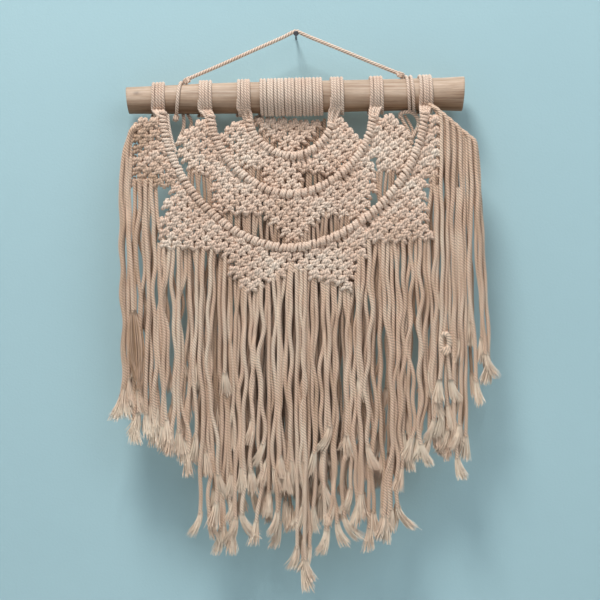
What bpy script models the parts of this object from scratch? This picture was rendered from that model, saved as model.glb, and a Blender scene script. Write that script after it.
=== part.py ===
"""Knotted cotton wall hanging on a branch dowel.

Four knotted curtains hang one in front of the other from the dowel, each stretched below a ribbed arc of cord
that is wound on the dowel at both ends. Their loose cords form a stepped fringe. One twisted cord carries the
dowel from a nail. The origin is the point where that cord rests on the nail, +Z is up and -Y faces the room.
"""

import math

import bmesh
import bpy
import numpy as np

MM = 0.001
GAP = 0.3  # clearance between pieces that touch, in millimetres like every size below

CORD = 3.6  # diameter of the plain cord
NET_THICKNESS = 7.0
STRAND_THICKNESS = 5.0  # a hanging strand, front to back
STRAND_WEB = 1.6  # where two strands of a group touch
STRAND_PITCH = 6.0
TIP_STEP = 2.0  # tips are cut to whole steps
TIP_STAGGER = 6.0  # neighbouring tips differ by about twice this
EDGE_GAP = 2.5  # between a net's lower edge and the strands below it
SWING_GAP = 1.4  # room above a swinging group, whose back edge rises as it swings
ARC_CORD = 8.0  # a carrier cord with its ribs

DOWEL_LEFT = (-172.0, -68.0)
DOWEL_RIGHT = (170.0, -61.0)
DOWEL_RADII = ((-172.0, 13.6), (-100.0, 15.2), (0.0, 16.0), (100.0, 16.2), (150.0, 16.6), (170.0, 17.4))
DOWEL_SIDES = 24
WRAP_SIDES = 18

MOUNT_WRAPS = {
    "mount_wrap_outer_left": -139.0,
    "mount_wrap_middle_left": -92.0,
    "mount_wrap_inner_left": -53.0,
    "mount_wrap_inner_right": 40.5,
    "mount_wrap_middle_right": 80.5,
    "mount_wrap_outer_right": 130.0,
}
MOUNT_TURNS = 4
CENTRE_WRAP_X = -5.5
CENTRE_TURNS = 18

# How far in front of the dowel's axis each curtain hangs.
CENTRE_Y = 1.0
INNER_Y = -7.5
MIDDLE_Y = -16.0
FRONT_Y = -24.5

# A carrier arc: middle, half widths to the left and right, height of its ends and its depth below them.
ARC_POWER = 1.8
INNER_ARC = {"middle": -4.0, "left": 43.0, "right": 40.0, "top": -89.5, "depth": 35.5, "y": INNER_Y}
MIDDLE_ARC = {"middle": -6.0, "left": 79.0, "right": 83.0, "top": -85.5, "depth": 78.5, "y": MIDDLE_Y}
OUTER_ARC = {"middle": -8.0, "left": 125.0, "right": 136.0, "top": -83.0, "depth": 135.0, "y": FRONT_Y}

# The lower outline of each net, from the arc's right end round to its left end.
CENTRE_NET = [(-41, -87), (-34, -96), (-16, -113), (-8, -121), (6, -111), (18, -98), (34, -87)]
INNER_NET = [
    (42, -90), (54, -90), (69, -113), (66, -131), (56, -139), (8, -141), (2, -161), (-18, -161),
    (-27, -155), (-40, -134), (-64, -131), (-72, -119), (-77, -101), (-75, -96), (-58, -90),
]
MIDDLE_NET = [
    (83, -86), (100, -88), (112, -102), (118, -118), (118, -138), (105, -141), (84, -144), (77, -148),
    (75.5, -185), (24, -185), (0, -211), (-10, -211), (-31, -183), (-82, -181), (-82, -147), (-92, -140),
    (-110, -136), (-118, -125), (-116, -110), (-108, -98), (-98, -87),
]
OUTER_NET = [
    (140, -84), (144, -100), (144, -147), (128, -151), (126, -158), (129, -180), (134, -205), (133, -208),
    (73, -208), (56, -256), (49, -258), (-4, -236), (-40, -260), (-50, -260), (-78, -217), (-138, -217),
    (-131, -185), (-123, -158), (-124, -154), (-162, -154), (-163, -101), (-156, -91), (-146, -85),
]

# Heights of the lines on which the fringe's groups swing.
SHOULDER_HINGE = -122.2
WING_HINGE = -154.4
LEFT_HINGE = -217.4
POINT_HINGE = -262.0
RIGHT_HINGE = -208.4

COTTON = (0.62, 0.46, 0.36)
COTTON_LIGHT = (0.70, 0.55, 0.45)
WOOD = (0.55, 0.40, 0.29)


def remove_all_objects():
    for obj in list(bpy.data.objects):
        bpy.data.objects.remove(obj, do_unlink=True)


def paint(obj, colour, roughness):
    """Gives a piece its own Principled material."""
    material = bpy.data.materials.new(obj.name)
    material.use_nodes = True
    shader = material.node_tree.nodes["Principled BSDF"]
    shader.inputs["Base Color"].default_value = (*colour, 1.0)
    shader.inputs["Roughness"].default_value = roughness
    shader.inputs["Metallic"].default_value = 0.0
    obj.data.materials.append(material)


def place(obj, pivot, colour, roughness=0.9):
    """Links a piece whose points are in world millimetres, and hangs it from its body's pivot."""
    bpy.context.scene.collection.objects.link(obj)
    obj.parent = pivot
    obj.location = -pivot_position(pivot)
    paint(obj, colour, roughness)
    return obj


def pivot_position(pivot):
    """World position of a pivot, which sits at the end of a chain of unrotated pivots."""
    position = pivot.location.copy()
    while pivot.parent:
        pivot = pivot.parent
        position += pivot.location
    return position


def add_pivot(name, position, parent=None):
    """An empty on a body's joint axis."""
    pivot = bpy.data.objects.new(name, None)
    bpy.context.scene.collection.objects.link(pivot)
    pivot.location = [value * MM for value in position]
    if parent:
        pivot.location -= pivot_position(parent)
        pivot.parent = parent
    return pivot


def mesh_object(name, bm, smooth_angle=None):
    """Scales a mesh in millimetres to metres and wraps it in an object, with its faces pointing out."""
    bmesh.ops.recalc_face_normals(bm, faces=bm.faces)
    bmesh.ops.scale(bm, vec=(MM, MM, MM), verts=bm.verts)
    mesh = bpy.data.meshes.new(name)
    bm.to_mesh(mesh)
    bm.free()
    if smooth_angle:
        mesh.shade_smooth()
        mesh.set_sharp_from_angle(angle=math.radians(smooth_angle))
    return bpy.data.objects.new(name, mesh)


# ---------------------------------------------------------------- dowel and wraps


def dowel_height(x):
    """Height of the dowel's axis at x."""
    share = (x - DOWEL_LEFT[0]) / (DOWEL_RIGHT[0] - DOWEL_LEFT[0])
    return DOWEL_LEFT[1] + share * (DOWEL_RIGHT[1] - DOWEL_LEFT[1])


def dowel_radius(x):
    places, radii = zip(*DOWEL_RADII)
    return float(np.interp(x, places, radii))


def dowel_frame():
    """Unit vectors along the dowel and square to it, upwards."""
    along = np.array([DOWEL_RIGHT[0] - DOWEL_LEFT[0], 0.0, DOWEL_RIGHT[1] - DOWEL_LEFT[1]])
    along /= np.linalg.norm(along)
    up = np.array([-along[2], 0.0, along[0]])
    return along, up


def around_dowel(x, radius, angle):
    """A point at a radius round the dowel's axis. Angle 0 is on top and 90 degrees is in front."""
    _, up = dowel_frame()
    front = np.array([0.0, -1.0, 0.0])
    centre = np.array([x, 0.0, dowel_height(x)])
    return centre + radius * (math.cos(angle) * up + math.sin(angle) * front)


def turned_round_dowel(name, profile, sides, closed_profile):
    """Turns a profile of (x, radius) points round the dowel's axis."""
    bm = bmesh.new()
    rings = []
    for x, radius in profile:
        angles = [2 * math.pi * i / sides for i in range(sides)]
        rings.append([bm.verts.new(around_dowel(x, radius, angle)) for angle in angles])
    pairs = list(zip(rings, rings[1:]))
    if closed_profile:
        pairs.append((rings[-1], rings[0]))
    for ring, after in pairs:
        for i in range(sides):
            j = (i + 1) % sides
            bm.faces.new((ring[i], ring[j], after[j], after[i]))
    if not closed_profile:
        bm.faces.new(rings[0])
        bm.faces.new(rings[-1])
    return mesh_object(name, bm, smooth_angle=40)


def add_dowel(pivot):
    xs = np.linspace(DOWEL_LEFT[0], DOWEL_RIGHT[0], 13)
    profile = [(float(x), dowel_radius(x)) for x in xs]
    place(turned_round_dowel("dowel", profile, DOWEL_SIDES, False), pivot, WOOD, 0.7)


def add_wrap(name, pivot, middle, turns):
    """A coil of cord round the dowel as one sleeve with a groove between its turns."""
    half = turns * CORD / 2
    inner = max(dowel_radius(middle - half), dowel_radius(middle + half)) + GAP
    profile = []
    for turn in range(turns):
        start = middle - half + turn * CORD
        profile.append((start, inner + 0.6 * CORD))
        profile.append((start + 0.5 * CORD, inner + CORD))
    profile.append((middle + half, inner + 0.6 * CORD))
    profile += [(middle + half, inner), (middle - half, inner)]
    place(turned_round_dowel(name, profile, WRAP_SIDES, True), pivot, COTTON_LIGHT)


# ---------------------------------------------------------------- plain cords


def smooth_route(points, count):
    """Points read evenly from a smooth curve through the given ones."""
    points = np.array(points, float)
    ends = (2 * points[0] - points[1], 2 * points[-1] - points[-2])
    padded = np.vstack([ends[0], points, ends[1]])
    fine = []
    for i in range(len(points) - 1):
        a, b, c, d = padded[i : i + 4]
        for t in np.linspace(0, 1, 12, endpoint=False):
            curve = 2 * b + (c - a) * t + (2 * a - 5 * b + 4 * c - d) * t**2 + (3 * b - a - 3 * c + d) * t**3
            fine.append(curve / 2)
    fine.append(points[-1])
    fine = np.array(fine)
    run = np.concatenate([[0], np.cumsum(np.linalg.norm(np.diff(fine, axis=0), axis=1))])
    even = np.linspace(0, run[-1], count)
    return np.column_stack([np.interp(even, run, fine[:, axis]) for axis in range(3)])


def add_cord(name, pivot, route, diameter, colour=COTTON_LIGHT):
    """A plain round tube along a route, with closed ends."""
    curve = bpy.data.curves.new(name, "CURVE")
    curve.dimensions = "3D"
    curve.bevel_depth = diameter / 2 * MM
    curve.bevel_resolution = 2
    curve.use_fill_caps = True
    spline = curve.splines.new("POLY")
    spline.points.add(len(route) - 1)
    for point, position in zip(spline.points, route):
        point.co = (*[value * MM for value in position], 1.0)
    place(bpy.data.objects.new(name, curve), pivot, colour)


def add_knot(name, pivot, centre, radii):
    """A small closed knot."""
    bm = bmesh.new()
    bmesh.ops.create_icosphere(bm, subdivisions=2, radius=1.0)
    bmesh.ops.scale(bm, vec=radii, verts=bm.verts)
    bmesh.ops.translate(bm, vec=centre, verts=bm.verts)
    place(mesh_object(name, bm, smooth_angle=60), pivot, COTTON_LIGHT)


def over_front(x_from, x_to, angle_from, angle_to, count):
    """Points of a cord laid over the dowel's front, between two angles from its top."""
    route = []
    for share in np.linspace(0, 1, count):
        x = x_from + share * (x_to - x_from)
        angle = math.radians(angle_from + share * (angle_to - angle_from))
        route.append(around_dowel(x, dowel_radius(x) + CORD / 2 + GAP, angle))
    return route


def add_hanger(pivot):
    """The cord over the nail, its knots on the dowel, and the ends and loop that hang below the dowel."""
    left_leg = [(-105.0, -2.0, -44.5), (-60.0, -1.0, -24.5), (-14.0, 0.0, -4.4)]
    over_nail = [(-5.0, 0.0, 0.2), (0.0, 0.0, CORD / 2), (5.0, 0.0, 0.2)]
    right_leg = [(14.0, 0.0, -3.8), (52.0, -1.0, -19.5), (100.0, -2.0, -39.5)]
    add_cord("hanger_cord", pivot, smooth_route(left_leg + over_nail + right_leg, 40), CORD)
    add_knot("hanger_knot_left", pivot, (-110.0, -2.0, -47.5), (4.6, 3.6, 3.8))
    add_knot("hanger_knot_right", pivot, (105.5, -2.0, -41.8), (4.6, 3.6, 3.8))

    add_cord("hanger_hitch_left", pivot, over_front(-114.0, -120.5, 25, 150, 14), CORD)
    add_knot("hanger_hitch_knot_left", pivot, (-122.0, -3.0, -88.0), (4.2, 3.4, 3.2))
    tail = [(-114.0, 1.0, -86.0), (-112.5, 0.5, -93.0), (-116.0, -0.5, -103.0), (-120.0, 0.0, -113.0)]
    add_cord("hanger_tail_left", pivot, smooth_route(tail, 10), CORD)

    add_cord("hanger_hitch_right", pivot, over_front(111.0, 110.0, 25, 150, 14), CORD)
    add_cord("hanger_hitch_right_second", pivot, over_front(116.5, 117.5, 25, 150, 14), CORD)
    loop = [(107.0, -1.5, -84.5), (108.5, -1.0, -94.0), (113.0, -1.0, -103.5), (116.0, -1.0, -106.3)]
    loop += [(118.8, -1.0, -103.5), (123.5, -1.0, -93.0), (120.5, -1.5, -84.5)]
    add_cord("hanger_loop_right", pivot, smooth_route(loop, 24), CORD)
    add_knot("hanger_end_knot", pivot, (116.0, -1.0, -112.4), (4.0, 3.4, 3.6))


# ---------------------------------------------------------------- arcs and nets


def arc_points(arc, count, outside=0.0):
    """Points (x, z) along an arc from left to right, moved outside it by a distance."""
    points = []
    for angle in np.linspace(math.pi, 2 * math.pi, count):
        across, down = math.cos(angle), abs(math.sin(angle))
        half = arc["left"] if across < 0 else arc["right"]
        x = arc["middle"] + math.copysign(abs(across) ** (2 / ARC_POWER), across) * half
        points.append((x, arc["top"] - arc["depth"] * down ** (2 / ARC_POWER)))
    points = np.array(points)
    tangents = np.gradient(points, axis=0)
    tangents /= np.linalg.norm(tangents, axis=1)[:, None]
    return points + outside * np.column_stack([tangents[:, 1], -tangents[:, 0]])


def add_arc(name, pivot, arc, count):
    route = [(x, arc["y"], z) for x, z in arc_points(arc, count)]
    add_cord(name, pivot, route, ARC_CORD)


def clip(outline, axis, side, limit):
    """The part of an outline where axis 0 (x) or 1 (z) is above or below a limit."""
    kept = []
    for here, after in zip(outline, outline[1:] + outline[:1]):
        inside = side * (here[axis] - limit) > 0
        if inside:
            kept.append(here)
        if inside != (side * (after[axis] - limit) > 0):
            share = (limit - here[axis]) / (after[axis] - here[axis])
            kept.append(tuple(a + share * (b - a) for a, b in zip(here, after)))
    return kept


def window(outline, left=None, right=None, low=None, high=None):
    """The part of an outline between limits, each drawn back by half a gap."""
    limits = ((0, 1, left), (0, -1, right), (1, 1, low), (1, -1, high))
    for axis, side, limit in limits:
        if limit is not None:
            outline = clip(outline, axis, side, limit + side * GAP / 2)
    return outline


def add_net(name, pivot, outline, y):
    """A knotted net as a flat slab of its outline."""
    bm = bmesh.new()
    front = [bm.verts.new((x, y - NET_THICKNESS / 2, z)) for x, z in outline]
    back = [bm.verts.new((x, y + NET_THICKNESS / 2, z)) for x, z in outline]
    bm.faces.new(front)
    bm.faces.new(back[::-1])
    for i in range(len(outline)):
        j = (i + 1) % len(outline)
        bm.faces.new((front[i], front[j], back[j], back[i]))
    place(mesh_object(name, bm), pivot, COTTON)


def under_arc(arc, lower_edge, count):
    """A net's outline: along its arc, then back along its lower edge."""
    upper_edge = [tuple(point) for point in arc_points(arc, count, ARC_CORD / 2 + GAP + 0.2)]
    return upper_edge + [tuple(float(value) for value in point) for point in lower_edge]


# ---------------------------------------------------------------- hanging strands


def below_edge(lower_edge, x):
    """Height just below a net's lower edge at x."""
    lowest = 0.0
    for (xa, za), (xb, zb) in zip(lower_edge, lower_edge[1:]):
        if min(xa, xb) <= x <= max(xa, xb) and xa != xb:
            lowest = min(lowest, za + (x - xa) / (xb - xa) * (zb - za))
    return lowest - EDGE_GAP


class StrandMesh:
    """Builds a row of strands, each a diamond in section, joined by a thin web where they touch."""

    def __init__(self, y, lean, upright_at):
        self.bm = bmesh.new()
        self.y = y
        self.lean = lean
        self.upright_at = upright_at
        self.verts = {}

    def point(self, x, out, z):
        key = (round(x, 4), round(out, 4), round(z, 4))
        if key not in self.verts:
            shift = self.lean * (self.upright_at - z)
            self.verts[key] = self.bm.verts.new((x + shift, self.y + out, z))
        return self.verts[key]

    def flank(self, ridge_x, web_x, top, web_top, tip, next_tip, out):
        """The face between a strand's ridge and one web, on the front (out < 0) or the back."""
        ridge_out = math.copysign(STRAND_THICKNESS / 2, out)
        web_out = math.copysign(STRAND_WEB / 2, out)
        high, low = self.point(ridge_x, ridge_out, top), self.point(ridge_x, ridge_out, tip)
        web_high, web_low = self.point(web_x, web_out, web_top), self.point(web_x, web_out, tip)
        if next_tip is None or next_tip <= tip:
            self.bm.faces.new((high, web_high, web_low, low))
            return
        bend = self.point(web_x, web_out, next_tip)
        self.bm.faces.new((high, web_high, bend))
        self.bm.faces.new((high, bend, low))
        self.bm.faces.new((low, bend, web_low))

    def wall(self, x, high, low):
        """The open side of a web."""
        front, back = -STRAND_WEB / 2, STRAND_WEB / 2
        corners = ((front, high), (front, low), (back, low), (back, high))
        self.bm.faces.new([self.point(x, out, z) for out, z in corners])

    def cap(self, left, ridge, right, heights):
        """The closed end of one strand."""
        web, thick = STRAND_WEB / 2, STRAND_THICKNESS / 2
        at_left, at_ridge, at_right = heights
        self.bm.faces.new([
            self.point(left, -web, at_left), self.point(ridge, -thick, at_ridge),
            self.point(right, -web, at_right), self.point(right, web, at_right),
            self.point(ridge, thick, at_ridge), self.point(left, web, at_left),
        ])


def add_strands(name, pivot, x_from, x_to, y, top, tips, stagger=TIP_STAGGER, lean=0.0):
    """A row of hanging strands. top gives the height of their upper ends at x, and tips the line of their tips."""
    count = max(2, round((x_to - x_from) / STRAND_PITCH))
    webs = [float(x) for x in np.linspace(x_from, x_to, count + 1)]
    ridges = [(a + b) / 2 for a, b in zip(webs, webs[1:])]
    tip_x, tip_z = zip(*tips)
    cut = []
    for i, x in enumerate(ridges):
        height = float(np.interp(x, tip_x, tip_z)) + (stagger if i % 2 else -stagger)
        cut.append(TIP_STEP * round(height / TIP_STEP))
    mesh = StrandMesh(y, lean, top(x_from))
    for i, x in enumerate(ridges):
        sides = ((webs[i], cut[i - 1] if i else None), (webs[i + 1], cut[i + 1] if i + 1 < count else None))
        for web_x, next_tip in sides:
            for out in (-1, 1):
                mesh.flank(x, web_x, top(x), top(web_x), cut[i], next_tip, out)
            if next_tip is None:
                mesh.wall(web_x, top(web_x), cut[i])
            elif next_tip > cut[i]:
                mesh.wall(web_x, next_tip, cut[i])
        mesh.cap(webs[i], x, webs[i + 1], (top(webs[i]), top(x), top(webs[i + 1])))
        mesh.cap(webs[i], x, webs[i + 1], (cut[i],) * 3)
    place(mesh_object(name, mesh.bm), pivot, COTTON)


def level(height):
    """A straight upper edge for a group of strands that swings on a line at this height."""
    return lambda x: height - SWING_GAP


def under(lower_edge):
    """An upper edge that follows a net's lower edge."""
    return lambda x: below_edge(lower_edge, x)


def left_shoulder(x):
    """The slope on which the outer strands leave the left wing."""
    return -101.0 - 2.0 * (-163.6 - x)


def right_shoulder(x):
    """The slope on which the outer strands leave the right wing."""
    return -85.0 - 0.95 * (x - 144.5)


# ---------------------------------------------------------------- curtains


def add_centre_curtain(pivot):
    add_net("centre_net", pivot, [tuple(map(float, point)) for point in CENTRE_NET], CENTRE_Y)
    tips = [(-38, -480), (0, -515), (34, -490)]
    add_strands("centre_strands", pivot, -38, 31, CENTRE_Y, under(CENTRE_NET), tips)


def add_inner_curtain(pivot):
    add_arc("inner_arc", pivot, INNER_ARC, 24)
    outline = under_arc(INNER_ARC, INNER_NET, 24)
    add_net("inner_net_left", pivot, window(outline, right=-40), INNER_Y)
    add_net("inner_net_point", pivot, window(outline, left=-40, right=6), INNER_Y)
    add_net("inner_net_right", pivot, window(outline, left=6), INNER_Y)
    tips = [(-62, -470), (-10, -505), (56, -480)]
    top = under(INNER_NET)
    add_strands("inner_strands_left", pivot, -62, -29, INNER_Y, top, tips)
    add_strands("inner_strands_point", pivot, -28, 7, INNER_Y, top, tips)
    add_strands("inner_strands_right", pivot, 9, 56, INNER_Y, top, tips)


def add_middle_curtain(pivot):
    add_arc("middle_arc", pivot, MIDDLE_ARC, 32)
    outline = under_arc(MIDDLE_ARC, MIDDLE_NET, 36)
    add_net("middle_net_left_wing", pivot, window(outline, right=-82), MIDDLE_Y)
    add_net("middle_net_left", pivot, window(outline, left=-82, right=-31), MIDDLE_Y)
    add_net("middle_net_point", pivot, window(outline, left=-31, right=24), MIDDLE_Y)
    add_net("middle_net_right", pivot, window(outline, left=24, right=78), MIDDLE_Y)
    add_net("middle_net_right_wing", pivot, window(outline, left=78), MIDDLE_Y)
    tips = [(-110, -430), (-82, -485), (-10, -520), (76, -495), (108, -440)]
    top = under(MIDDLE_NET)
    add_strands("middle_strands_left_wing", pivot, -109, -84, MIDDLE_Y, top, tips)
    add_strands("middle_strands_left", pivot, -81, -33, MIDDLE_Y, top, tips)
    add_strands("middle_strands_point", pivot, -30, 23, MIDDLE_Y, top, tips)
    add_strands("middle_strands_right", pivot, 25.5, 75, MIDDLE_Y, top, tips)
    add_strands("middle_strands_right_wing", pivot, 80, 108, MIDDLE_Y, top, tips)


def add_front_curtain(pivot):
    add_arc("outer_arc", pivot, OUTER_ARC, 40)
    outline = under_arc(OUTER_ARC, OUTER_NET, 48)
    left_wing_line, right_wing_line = -154.4, -151.3
    left_half, right_half = window(outline, right=-60), window(outline, left=60)
    add_net("outer_net_left_wing", pivot, window(left_half, low=left_wing_line), FRONT_Y)
    add_net("outer_net_left", pivot, window(outline, right=-78, high=left_wing_line), FRONT_Y)
    add_net("outer_net_left_point", pivot, window(outline, left=-78, right=-4), FRONT_Y)
    add_net("outer_net_right_point", pivot, window(outline, left=-4, right=73), FRONT_Y)
    add_net("outer_net_right", pivot, window(outline, left=73, high=right_wing_line), FRONT_Y)
    add_net("outer_net_right_wing", pivot, window(right_half, low=right_wing_line), FRONT_Y)

    top = under(OUTER_NET)
    flat = [(-200, POINT_HINGE), (200, POINT_HINGE)]
    add_strands("gather_left", pivot, -77.6, -57, FRONT_Y, top, flat, stagger=0)
    add_strands("gather_middle", pivot, -31, 40, FRONT_Y, top, flat, stagger=0)
    add_strands("gather_right", pivot, 58, 72.6, FRONT_Y, top, flat, stagger=0)
    left_tips = [(-200, SHOULDER_HINGE), (-160, SHOULDER_HINGE)]
    right_tips = [(140, WING_HINGE), (168, WING_HINGE), (169, SHOULDER_HINGE), (200, SHOULDER_HINGE)]
    add_strands("shoulder_left", pivot, -172, -163.6, FRONT_Y, left_shoulder, left_tips, stagger=0)
    add_strands("shoulder_right", pivot, 144.5, 180.5, FRONT_Y, right_shoulder, right_tips, stagger=0)


# Each swinging group of the fringe: its hinge's height, its sides, the line of its tips and its lean.
FRINGES = {
    "fringe_left_outer": (SHOULDER_HINGE, -178.5, -163.6, [(-178, -378), (-164, -402)], 0.0),
    "fringe_left_wing": (WING_HINGE, -162.0, -138.8, [(-162, -404), (-139, -430)], 0.0),
    "fringe_left": (LEFT_HINGE, -138.0, -78.5, [(-138, -424), (-104, -450), (-94, -512), (-78, -518)], 0.0),
    "fringe_left_point": (POINT_HINGE, -77.7, -32.2, [(-78, -516), (-32, -510)], 0.0),
    "fringe_middle": (POINT_HINGE, -31.8, 22.0, [(-32, -508), (-6, -512), (4, -548), (16, -551), (22, -520)], 0.0),
    "fringe_right_point": (POINT_HINGE, 22.4, 73.0, [(22, -518), (50, -504), (73, -496)], 0.0),
    "fringe_right": (RIGHT_HINGE, 73.4, 133.2, [(73, -510), (108, -508), (114, -462), (133, -442)], 0.0),
    "fringe_right_wing": (WING_HINGE, 134.0, 168.2, [(134, -440), (150, -436), (168, -452)], 0.0),
    "fringe_right_outer": (SHOULDER_HINGE, 168.9, 184.5, [(168, -384), (184, -352)], 0.05),
}


def add_fringes(front_pivot):
    """The fringe's groups, each on its own hinge at the front curtain's lower edge."""
    for name, (hinge, left, right, tips, lean) in FRINGES.items():
        pivot = add_pivot("hinge_" + name, ((left + right) / 2, FRONT_Y, hinge), front_pivot)
        add_strands(name, pivot, left, right, FRONT_Y, level(hinge), tips, lean=lean)


def build():
    remove_all_objects()
    hanger = add_pivot("hanger", (0.0, 0.0, 0.0))
    add_hanger(hanger)
    add_dowel(hanger)
    for name, middle in MOUNT_WRAPS.items():
        add_wrap(name, hanger, middle, MOUNT_TURNS)
    add_wrap("centre_wrap", hanger, CENTRE_WRAP_X, CENTRE_TURNS)

    dowel_axis = (0.0, 0.0, dowel_height(0.0))
    centre = add_pivot("hinge_centre_curtain", dowel_axis, hanger)
    inner = add_pivot("hinge_inner_curtain", dowel_axis, centre)
    middle = add_pivot("hinge_middle_curtain", dowel_axis, inner)
    front = add_pivot("hinge_front_curtain", dowel_axis, middle)
    add_centre_curtain(centre)
    add_inner_curtain(inner)
    add_middle_curtain(middle)
    add_front_curtain(front)
    add_fringes(front)


build()
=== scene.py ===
import math

import bpy
import numpy as np
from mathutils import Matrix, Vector
from mathutils.bvhtree import BVHTree


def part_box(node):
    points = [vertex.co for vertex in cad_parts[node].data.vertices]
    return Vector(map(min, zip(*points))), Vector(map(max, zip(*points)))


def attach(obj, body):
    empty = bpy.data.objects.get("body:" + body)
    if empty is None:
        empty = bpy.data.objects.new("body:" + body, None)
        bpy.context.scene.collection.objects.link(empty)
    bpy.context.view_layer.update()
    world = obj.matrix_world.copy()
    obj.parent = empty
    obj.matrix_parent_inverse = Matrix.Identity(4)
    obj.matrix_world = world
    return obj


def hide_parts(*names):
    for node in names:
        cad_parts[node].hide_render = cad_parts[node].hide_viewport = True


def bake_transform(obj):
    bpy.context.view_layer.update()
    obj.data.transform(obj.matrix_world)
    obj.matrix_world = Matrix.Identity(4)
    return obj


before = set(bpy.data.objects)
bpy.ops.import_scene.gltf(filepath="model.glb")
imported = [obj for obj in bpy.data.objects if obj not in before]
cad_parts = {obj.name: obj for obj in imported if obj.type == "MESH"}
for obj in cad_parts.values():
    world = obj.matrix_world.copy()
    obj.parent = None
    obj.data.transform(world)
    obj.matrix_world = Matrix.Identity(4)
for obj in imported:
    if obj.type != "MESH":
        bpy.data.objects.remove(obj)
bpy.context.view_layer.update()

MM = 0.001  # the shapes below are worked out in millimetres and made in metres
TURN = 2 * math.pi

LOOSE_RADIUS = 2.12  # a hanging strand
KNOT_RADIUS = 1.9  # the same cord pulled tight in a knot
RIB_RADIUS = 1.92
WRAP_RADIUS = 1.75
HANGER_RADIUS = 2.05
PLIES = 3
LAY = 8.6  # length of one turn of the cord's plies
PLY_GROOVE = 0.26  # how deep the creases between plies are, as a share of the cord's radius
STRAND_PITCH = 3.8  # from one strand of a row to the next
BEHIND_PITCH = 6.0
OUTER_PITCH = 3.1
WRAP_PITCH = 3.6  # from one turn of a wrap to the next
RIB_PITCH = 3.7  # from one half hitch of an arc to the next
KNOT_WIDE = 11.4
KNOT_PAIR_HIGH = 10.9  # from one row of knots to the second row below it
KNOT_STEP = 4.6  # from a lower row of a pair to the upper one
KNOT_TO_ARC = 5.2  # the closest that a knot's centre comes to its arc
FEEDER_REACH = 14.5  # the furthest that a knot hangs from its arc by cords of its own
TUFT_LENGTH = 28.0
TUFT_FIBRES = 64
TUFT_ROOT = 2.3  # half the width of a tuft where it leaves its strand
TUFT_FLATNESS = 0.62
TOP_OVERLAP = 4.0  # how far a strand reaches up into its net

LAYERS = ("centre", "inner", "middle", "outer")
LAYER_Y = {"centre": 1, "inner": -7.5, "middle": -16, "outer": -24.5}
DECLARED_CORDS = 38

# where each net's lowest row of knots starts: height, and the x of one knot in it
LATTICE_START = {
    "outer": (-255.5, -45),
    "middle": (-207, -5),
    "inner": (-157, -10),
    "centre": (-116.5, -8),
}

# groups at the two edges of the fringe, and how much shorter some of their strands are cut
EDGE_GROUPS = ("fringe_left_outer", "fringe_left_wing", "fringe_right_wing", "fringe_right_outer")
EDGE_TRIMS = (0, 4, 26, 8, 52, 14)

# a few strands cut short in front of the rest: (x, top, tip)
SHORT_STRANDS = {
    "fringe_right_wing": ((141, -156, -290), (163, -158, -336), (160.5, -158, -455)),
    "fringe_left": ((-70.5, -225, -371),),
    "fringe_right_point": ((63, -225, -378),),
    "fringe_middle": ((-17, -262, -452), (0.5, -236, -543), (9.5, -236, -557)),
}

# how low a front strand's tip may hang at each x, where the hem steps up to the wings
HEM_X = (-135, -108, -95, -90, 97, 101, 110)
HEM_HEIGHT = (-440, -458, -474, -600, -600, -474, -462)
HEM_RAGGED = 34.0  # and how much higher it may end there

# what the CAD shows of a group's strands above its hinge
STARTS_AT = {
    "fringe_left_point": "gather_left",
    "fringe_middle": "gather_middle",
    "fringe_right_point": "gather_right",
    "fringe_left_outer": "shoulder_left",
    "fringe_right_outer": "shoulder_right",
}

# the cotton's ramp: painted shade at its dark end, the cotton's own colour in the middle, paler cotton at
# the top
COTTON_STOPS = ((0, (0.44, 0.285, 0.18)), (0.5, (0.8, 0.6, 0.475)), (1, (0.95, 0.86, 0.74)))
FRINGE_WARM_SHADE_TONE = (1, 0.955, 0.9)  # the hanging cords are painted a little pinker and warmer than the knots: painted warm shade, as of light bounced between the cords

GRAIN_STOPS = ((0.3, (0.28, 0.182, 0.12)), (0.5, (0.445, 0.335, 0.25)), (0.72, (0.57, 0.465, 0.375)))
# painted light and shade on the dowel: lighter on its top, darker and browner towards its underside
LIGHT_AND_SHADE_STOPS = ((0.1, (1, 0.97, 0.95)), (0.5, (0.92, 0.87, 0.83)), (0.9, (0.55, 0.41, 0.29)))
RING_STOPS = ((0, (0.44, 0.3, 0.2)), (1, (0.64, 0.49, 0.37)))
WALL_STOPS = ((0.3, (0.355, 0.535, 0.59)), (0.7, (0.38, 0.565, 0.62)))
FLOOR_STOPS = ((0.3, (0.7, 0.71, 0.7)), (0.7, (0.74, 0.75, 0.74)))
NOISE_SPREAD = (0.3, 0.7)  # where most of a noise texture's values lie

# where cords and tufts stand on the cotton's ramp, from painted shade to pale; those that hang behind or
# under others stand lower on it as painted shade
HANGER_TINT, WRAP_TINT, RIB_TINT, CORE_SHADE_TINT, NECK_TINT = 0.56, 0.6, 0.54, 0.35, 0.56
KNOT_TINT, FRONT_TINT, SHORT_TINT, REAR_SHADE_TINT, BEHIND_SHADE_TINT, HANK_TINT = 0.55, 0.55, 0.62, 0.42, 0.36, 0.24
FRONT_TUFT_TINT, SHORT_TUFT_TINT, REAR_TUFT_SHADE_TINT, BEHIND_TUFT_SHADE_TINT = 0.84, 0.86, 0.74, 0.72


def link_object(name, data):
    """A new object in the scene for a mesh, a light or a camera."""
    made = bpy.data.objects.new(name, data)
    bpy.context.scene.collection.objects.link(made)
    return made


def curtain(layer):
    """The body of a layer's net, arc and strands."""
    return "front_curtain" if layer == "outer" else layer + "_curtain"


def stand_for(piece, body, slot, *nodes):
    """Makes a piece ride on a body in place of CAD nodes. slot is not used."""
    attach(piece, body)
    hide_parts(*nodes)


# ---- stage


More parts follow.
